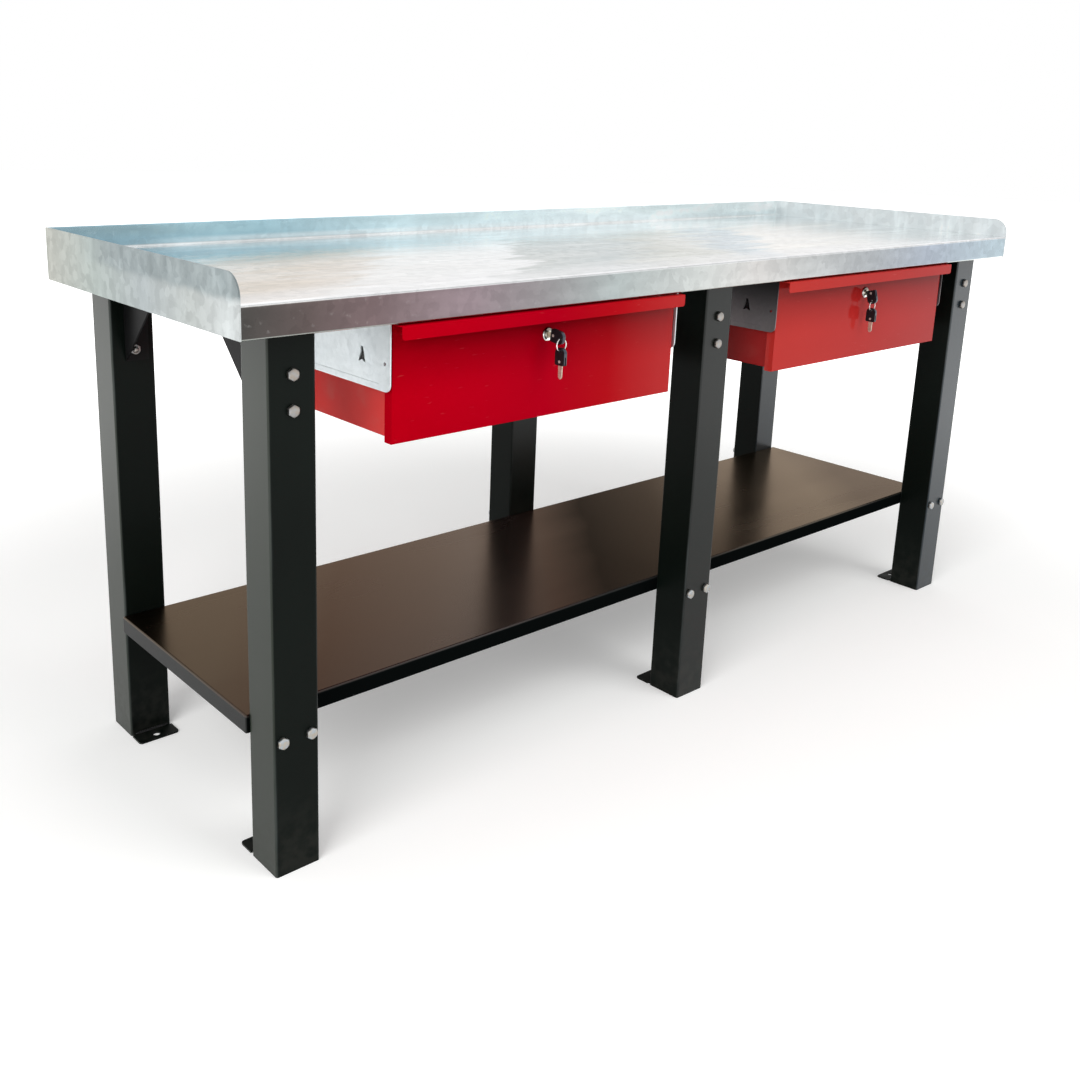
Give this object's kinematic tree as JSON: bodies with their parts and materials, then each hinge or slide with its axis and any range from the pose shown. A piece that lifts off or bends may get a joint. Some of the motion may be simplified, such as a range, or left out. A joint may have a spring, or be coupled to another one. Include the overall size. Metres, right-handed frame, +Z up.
{
  "type": "workbench with drawers",
  "caption": "Long steel workbench: galvanised worktop with raised edges, box-section legs, lower shelf, and lockable drawers on ball-bearing slides.",
  "frame": {"origin": "on the floor, in the middle of the four corner foot holes", "axes": "+X along the bench to the right of someone standing in front of it, -Y towards that person, +Z up"},
  "size_m": [2, 0.6738, 0.907],
  "materials": {
    "galvanised_sheet": "galvanised, satin",
    "black_powder_coat": "black powder coat, satin",
    "red_paint": "red powder coat, glossy",
    "zinc_fasteners": "bright zinc plate",
    "slide_steel": "zinc-plated sheet",
    "nickel_plate": "bright nickel plate",
    "black_plastic": "moulded black plastic"
  },
  "bodies": {
    "bench": {"worktop_skin": "galvanised_sheet", "end_cheek_left": "galvanised_sheet", "end_cheek_right": "galvanised_sheet", "rear_apron": "galvanised_sheet", "top_stiffeners": "galvanised_sheet", "leg_front_left": "black_powder_coat", "leg_front_centre": "black_powder_coat", "leg_front_right": "black_powder_coat", "leg_rear_left": "black_powder_coat", "leg_rear_centre": "black_powder_coat", "leg_rear_right": "black_powder_coat", "cross_beam_left": "black_powder_coat", "cross_beam_centre": "black_powder_coat", "cross_beam_right": "black_powder_coat", "shelf": "black_powder_coat", "shelf_rib": "black_powder_coat", "leg_bolts": "zinc_fasteners", "leg_nuts": "zinc_fasteners", "shelf_bolts": "zinc_fasteners", "shelf_nuts": "zinc_fasteners", "beam_screws": "zinc_fasteners", "hanger_screws": "zinc_fasteners", "hanger_plate_left_left": "galvanised_sheet", "hanger_plate_left_right": "galvanised_sheet", "hanger_plate_right_left": "galvanised_sheet", "hanger_plate_right_right": "galvanised_sheet", "slide_outers_left": "slide_steel", "slide_outers_right": "slide_steel", "lock_strike_left": "galvanised_sheet", "lock_strike_right": "galvanised_sheet"},
    "drawer_left": {"drawer_box_left": "red_paint", "drawer_front_left": "red_paint", "slide_inners_left": "slide_steel", "lock_housing_left": "nickel_plate", "lock_nut_left": "nickel_plate"},
    "ball_cages_left": {"ball_cages_left": "slide_steel"},
    "lock_left": {"lock_plug_left": "nickel_plate", "lock_cam_left": "nickel_plate", "key_blade_left": "nickel_plate"},
    "key_head_left": {"key_head_left": "black_plastic", "key_rivet_left": "nickel_plate"},
    "key_ring_left": {"key_ring_left": "nickel_plate"},
    "spare_head_left": {"spare_head_left": "black_plastic", "spare_rivet_left": "nickel_plate"},
    "spare_blade_left": {"spare_blade_left": "nickel_plate"},
    "drawer_right": {"drawer_box_right": "red_paint", "drawer_front_right": "red_paint", "slide_inners_right": "slide_steel", "lock_housing_right": "nickel_plate", "lock_nut_right": "nickel_plate"},
    "ball_cages_right": {"ball_cages_right": "slide_steel"},
    "lock_right": {"lock_plug_right": "nickel_plate", "lock_cam_right": "nickel_plate", "key_blade_right": "nickel_plate"},
    "key_head_right": {"key_head_right": "black_plastic", "key_rivet_right": "nickel_plate"},
    "key_ring_right": {"key_ring_right": "nickel_plate"},
    "spare_head_right": {"spare_head_right": "black_plastic", "spare_rivet_right": "nickel_plate"},
    "spare_blade_right": {"spare_blade_right": "nickel_plate"}
  },
  "joints": [
    {"name": "drawer_slide_left", "type": "slide", "parent": "bench", "child": "drawer_left", "axis": [0, -1, 0], "range_m": [0, 0.3]},
    {"name": "cage_slide_left", "type": "slide", "parent": "bench", "child": "ball_cages_left", "axis": [0, -1, 0], "range_m": [0, 0.15]},
    {"name": "lock_turn_left", "type": "hinge", "parent": "drawer_left", "child": "lock_left", "pos_m": [-0.45125, -0.3115, 0.775], "axis": [0, 1, 0], "range_deg": [0, 90]},
    {"name": "key_fold_left", "type": "hinge", "parent": "lock_left", "child": "key_head_left", "pos_m": [-0.45125, -0.3275, 0.775], "axis": [1, 0, 0], "range_deg": [-8, 82]},
    {"name": "key_ring_swing_left", "type": "hinge", "parent": "key_head_left", "child": "key_ring_left", "pos_m": [-0.45125, -0.34384, 0.7727], "axis": [1, 0, 0], "range_deg": [-82, 8]},
    {"name": "spare_key_swing_left", "type": "hinge", "parent": "key_ring_left", "child": "spare_head_left", "pos_m": [-0.45125, -0.34384, 0.7627], "axis": [0, 1, 0], "range_deg": [-90, 0]},
    {"name": "spare_fold_left", "type": "hinge", "parent": "spare_head_left", "child": "spare_blade_left", "pos_m": [-0.45125, -0.34384, 0.7362], "axis": [1, 0, 0], "range_deg": [-90, 0]},
    {"name": "drawer_slide_right", "type": "slide", "parent": "bench", "child": "drawer_right", "axis": [0, -1, 0], "range_m": [0, 0.3]},
    {"name": "cage_slide_right", "type": "slide", "parent": "bench", "child": "ball_cages_right", "axis": [0, -1, 0], "range_m": [0, 0.15]},
    {"name": "lock_turn_right", "type": "hinge", "parent": "drawer_right", "child": "lock_right", "pos_m": [0.45125, -0.3115, 0.775], "axis": [0, 1, 0], "range_deg": [0, 90]},
    {"name": "key_fold_right", "type": "hinge", "parent": "lock_right", "child": "key_head_right", "pos_m": [0.45125, -0.3275, 0.775], "axis": [1, 0, 0], "range_deg": [-75, 15]},
    {"name": "key_ring_swing_right", "type": "hinge", "parent": "key_head_right", "child": "key_ring_right", "pos_m": [0.45125, -0.33177, 0.75906], "axis": [1, 0, 0], "range_deg": [-15, 75]},
    {"name": "spare_key_swing_right", "type": "hinge", "parent": "key_ring_right", "child": "spare_head_right", "pos_m": [0.45125, -0.33177, 0.74906], "axis": [0, 1, 0], "range_deg": [-90, 0]},
    {"name": "spare_fold_right", "type": "hinge", "parent": "spare_head_right", "child": "spare_blade_right", "pos_m": [0.45125, -0.33177, 0.72256], "axis": [1, 0, 0], "range_deg": [-90, 0]}
  ],
  "couplings": [
    {"joint": "cage_slide_left", "follows": "drawer_slide_left", "ratio": 0.5},
    {"joint": "key_ring_swing_left", "follows": "key_fold_left", "ratio": -1},
    {"joint": "spare_key_swing_left", "follows": "lock_turn_left", "ratio": -1},
    {"joint": "cage_slide_right", "follows": "drawer_slide_right", "ratio": 0.5},
    {"joint": "key_ring_swing_right", "follows": "key_fold_right", "ratio": -1},
    {"joint": "spare_key_swing_right", "follows": "lock_turn_right", "ratio": -1}
  ]
}
